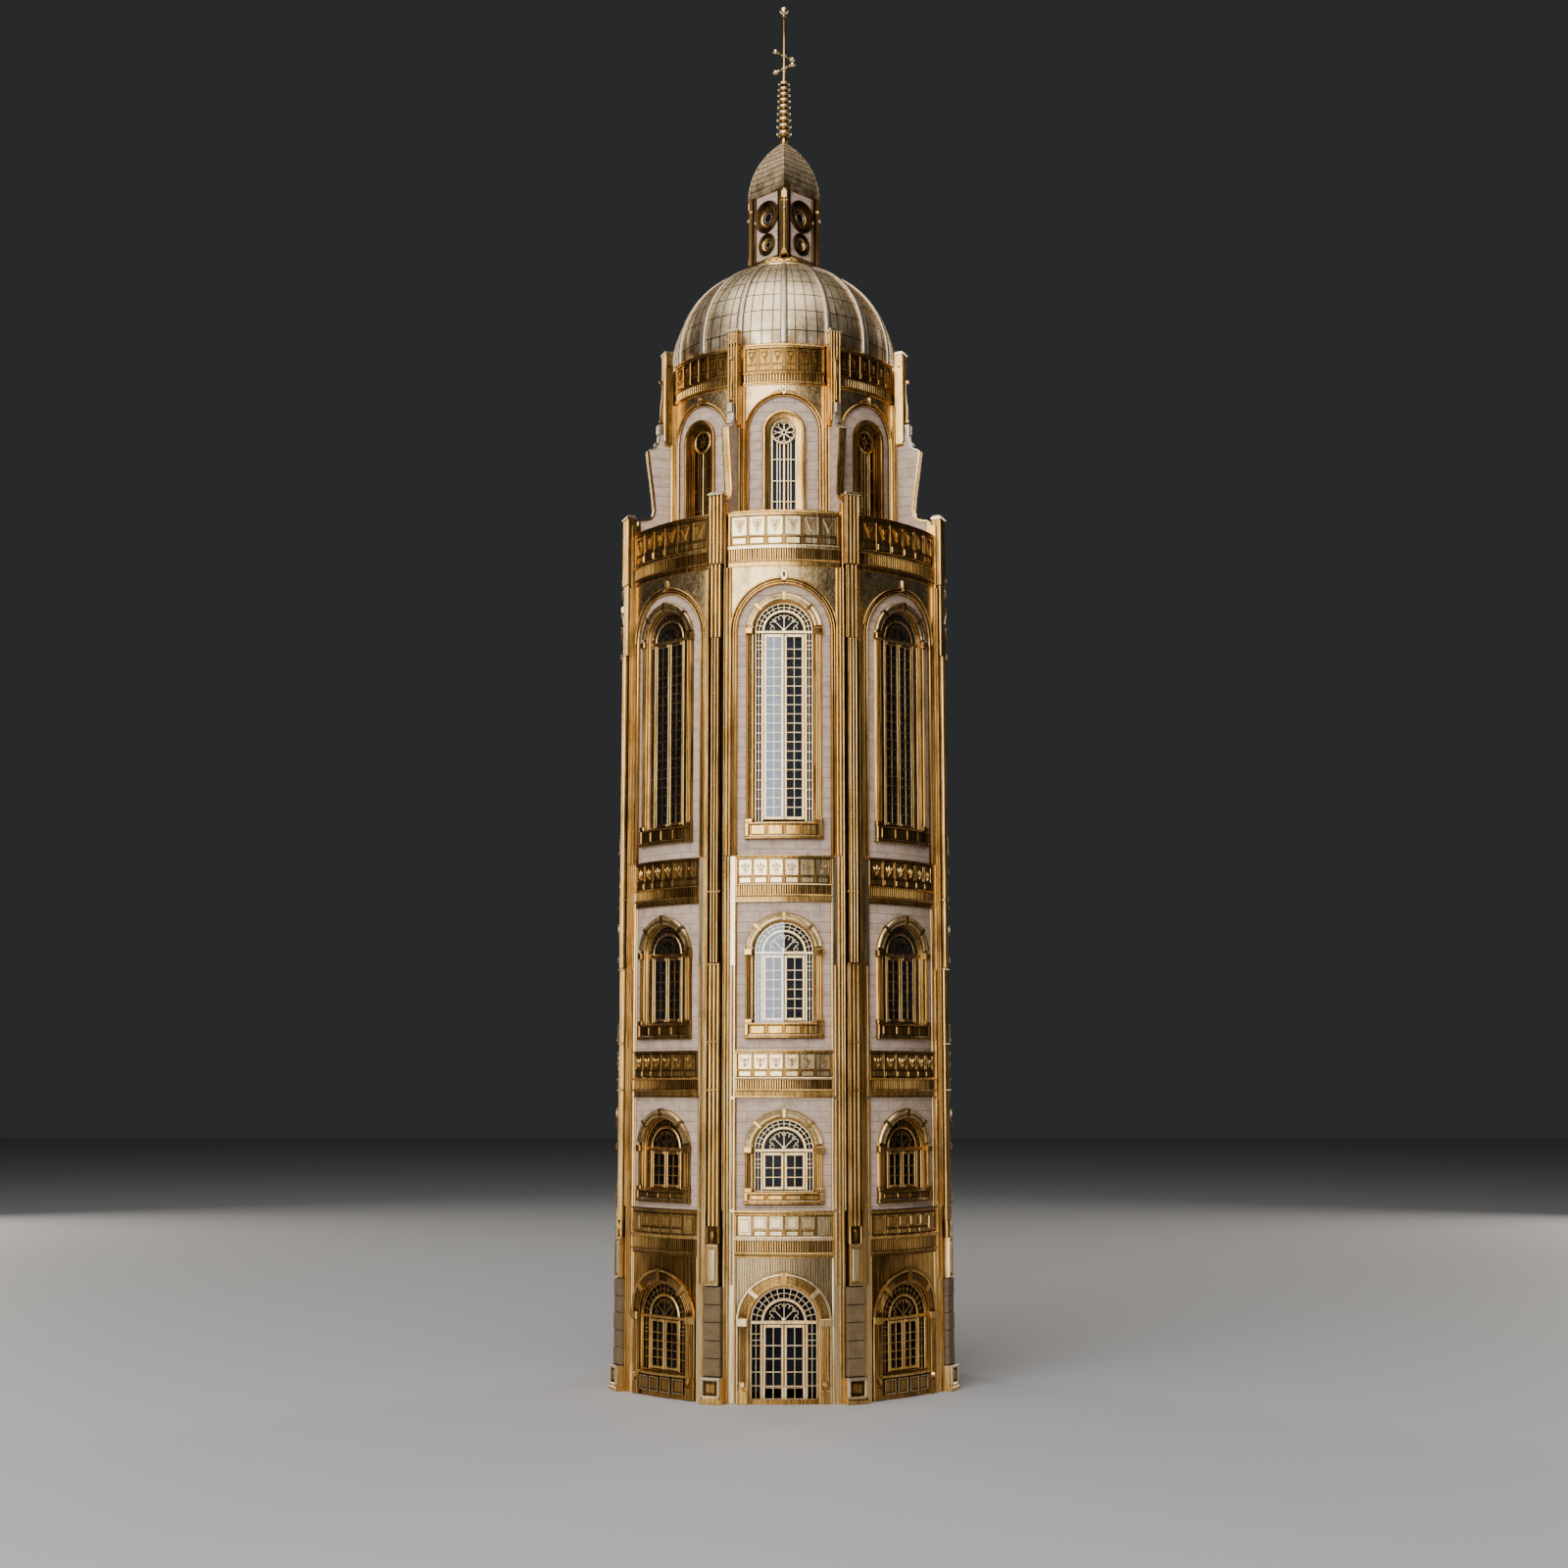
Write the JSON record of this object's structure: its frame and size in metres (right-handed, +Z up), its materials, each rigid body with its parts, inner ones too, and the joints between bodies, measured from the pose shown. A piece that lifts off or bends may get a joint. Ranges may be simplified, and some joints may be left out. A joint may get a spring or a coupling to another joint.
{
  "type": "monstrance",
  "caption": "Gilt tower-form monstrance: round arcaded drum with a glazed exposition chamber, hinged windows and a lift-off domed cover with lantern and ringed spire.",
  "frame": {"origin": "centre of the resting face, on the tower's vertical axis, at the underside of the base plate", "axes": "+Z up along the tower's axis to the finial ball, -Y out of the front bay that holds the portal and the chamber's casement, +X to the right of a viewer who faces the portal"},
  "size_m": [0.1924, 0.1924, 0.8226],
  "materials": {
    "gilt": "gilt, brushed, with dark patina in the recesses",
    "pale_gilt": "pale champagne gilding, satin",
    "stone": "matte, pinkish white blocks",
    "glass": "dark, polished",
    "host": "matte"
  },
  "bodies": {
    "tower": {"base_plate": "gilt", "ground_wall": "gilt", "ground_casings": "gilt", "ground_frieze": "gilt", "first_wall": "stone", "first_casings": "gilt", "first_frieze": "gilt", "second_wall": "stone", "second_casings": "gilt", "second_frieze": "gilt", "chamber_wall": "stone", "chamber_casings": "gilt", "lower_entablature": "gilt", "chamber_floor": "gilt", "ground_glass": "glass", "hall_glass": "glass", "chamber_glass": "glass", "pier_1": "gilt", "pier_2": "gilt", "pier_3": "gilt", "pier_4": "gilt", "pier_5": "gilt", "pier_6": "gilt", "pier_7": "gilt", "pier_8": "gilt", "portal_frame": "gilt", "chamber_frame": "gilt", "luna_stand": "gilt"},
    "portal_left": {"portal_leaf_left": "gilt", "portal_pane_left": "glass"},
    "portal_right": {"portal_leaf_right": "gilt", "portal_pane_right": "glass"},
    "chamber_left": {"chamber_leaf_left": "gilt", "chamber_pane_left": "glass"},
    "chamber_right": {"chamber_leaf_right": "gilt", "chamber_pane_right": "glass"},
    "luna": {"luna_rim": "gilt", "luna_host": "host"},
    "cover": {"terrace_plate": "gilt", "upper_wall": "stone", "upper_casings": "gilt", "upper_glass": "glass", "upper_entablature": "gilt", "upper_pier_1": "gilt", "upper_pier_2": "gilt", "upper_pier_3": "gilt", "upper_pier_4": "gilt", "upper_pier_5": "gilt", "upper_pier_6": "gilt", "upper_pier_7": "gilt", "upper_pier_8": "gilt", "dome_shell": "pale_gilt", "dome_ribs": "pale_gilt", "lantern_collar": "pale_gilt", "lantern_body": "stone", "lantern_roof": "pale_gilt", "spire_stem": "gilt", "vane_arms": "gilt", "finial_ball": "gilt"}
  },
  "joints": [
    {"name": "portal_hinge_left", "type": "hinge", "parent": "tower", "child": "portal_left", "pos_m": [-0.011, -0.091, 0.022], "axis": [0, 0, -1], "range_deg": [0, 95]},
    {"name": "portal_hinge_right", "type": "hinge", "parent": "tower", "child": "portal_right", "pos_m": [0.011, -0.091, 0.022], "axis": [0, 0, 1], "range_deg": [0, 95]},
    {"name": "chamber_hinge_left", "type": "hinge", "parent": "tower", "child": "chamber_left", "pos_m": [-0.011, -0.091, 0.3585], "axis": [0, 0, -1], "range_deg": [0, 95]},
    {"name": "chamber_hinge_right", "type": "hinge", "parent": "tower", "child": "chamber_right", "pos_m": [0.011, -0.091, 0.3585], "axis": [0, 0, 1], "range_deg": [0, 95]},
    {"name": "luna_lift", "type": "slide", "parent": "tower", "child": "luna", "axis": [0, 0, 1], "range_m": [0, 0.055]},
    {"name": "cover_lift", "type": "slide", "parent": "tower", "child": "cover", "axis": [0, 0, 1], "range_m": [0, 0.06]}
  ]
}
